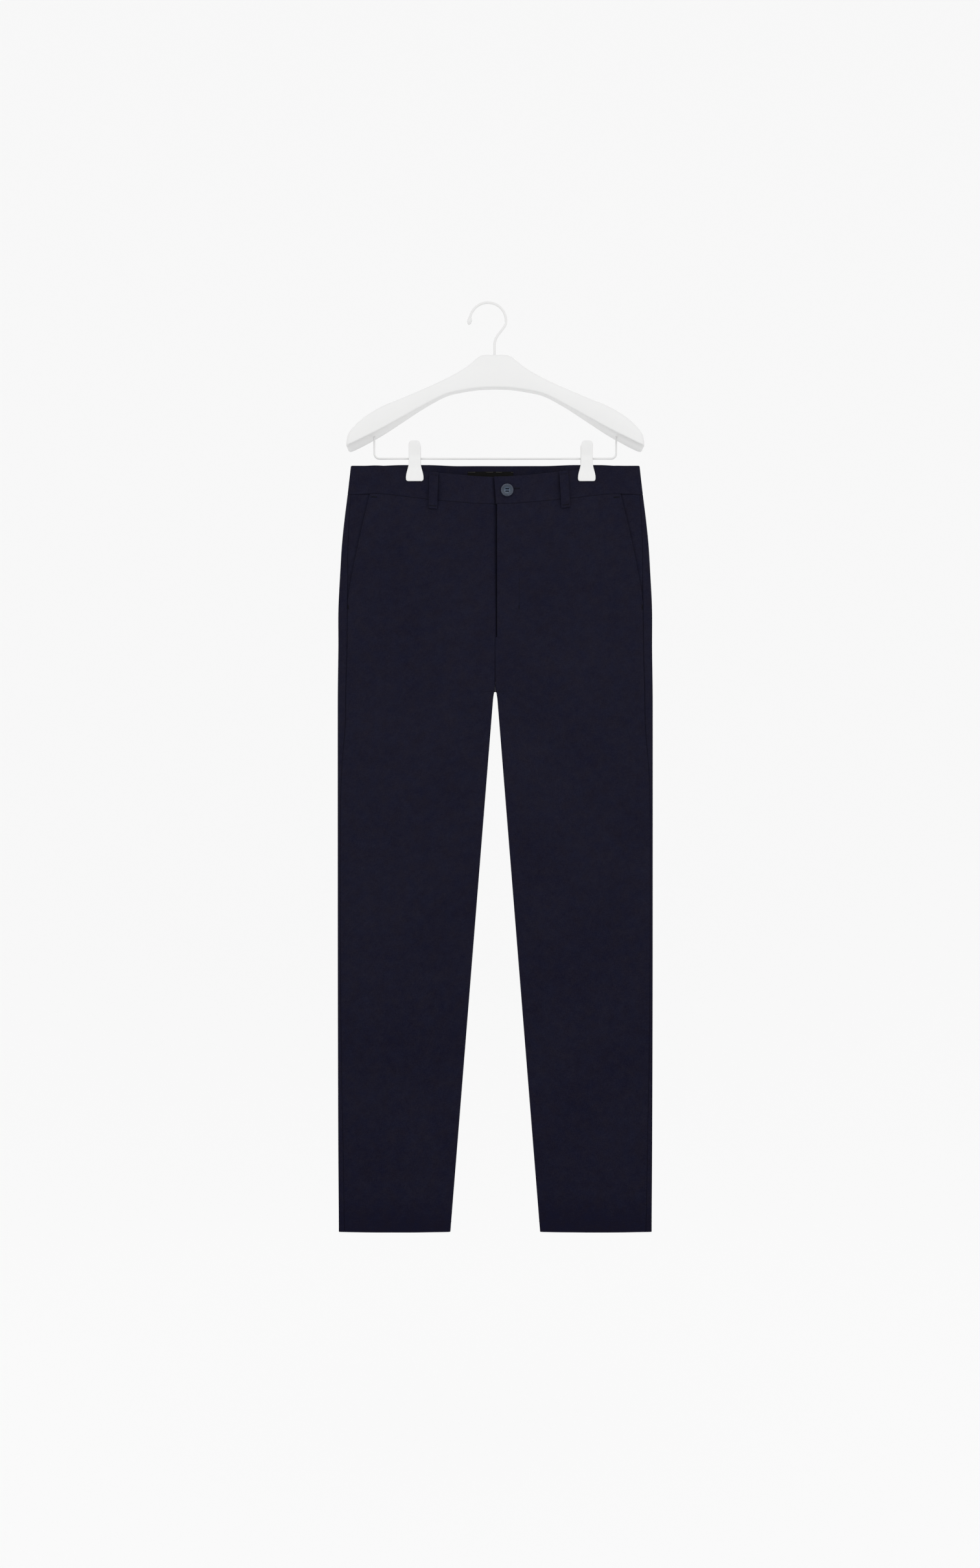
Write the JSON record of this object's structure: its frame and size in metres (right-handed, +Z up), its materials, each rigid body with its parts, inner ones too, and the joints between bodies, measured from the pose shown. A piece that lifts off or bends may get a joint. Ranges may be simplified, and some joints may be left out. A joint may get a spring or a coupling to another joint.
{
  "type": "chino trousers on a clip hanger",
  "caption": "Straight navy chino trousers with slant pockets, zip fly and belt loops, hanging flat from the clips of a white trouser hanger.",
  "frame": {"origin": "inner crest of the hanger's hook, where it rests on the rail or wall hook that holds it", "axes": "+Z up, along the hanging garment; the front of the trousers faces -Y; the wearer's left side is at +X"},
  "size_m": [0.457, 0.05, 1.3496],
  "materials": {
    "navy_cloth": "matt fine cotton twill, dark navy",
    "zip_tape": "woven tape with a closed chain, dark navy",
    "label": "bare woven label, black",
    "button": "polished slate blue",
    "hanger": "satin white lacquer over wood",
    "clip": "smooth white plastic",
    "wire": "white powder coat on steel wire"
  },
  "bodies": {
    "root": {"front_left": "navy_cloth", "front_right": "navy_cloth", "back_left": "navy_cloth", "back_right": "navy_cloth", "waistband_left": "navy_cloth", "waistband_right": "navy_cloth", "pocket_facing_left": "navy_cloth", "pocket_facing_right": "navy_cloth", "fly_shield": "navy_cloth", "belt_loop_front_left": "navy_cloth", "belt_loop_front_right": "navy_cloth", "belt_loop_back_left": "navy_cloth", "belt_loop_back_right": "navy_cloth", "belt_loop_back_centre": "navy_cloth", "fly_zip": "zip_tape", "label": "label", "button": "button", "hanger_body": "hanger", "clip_left_front": "clip", "clip_left_back": "clip", "clip_right_front": "clip", "clip_right_back": "clip", "hanger_hook": "wire", "hanger_bar": "wire", "clip_left_spring": "wire", "clip_right_spring": "wire"}
  },
  "joints": []
}
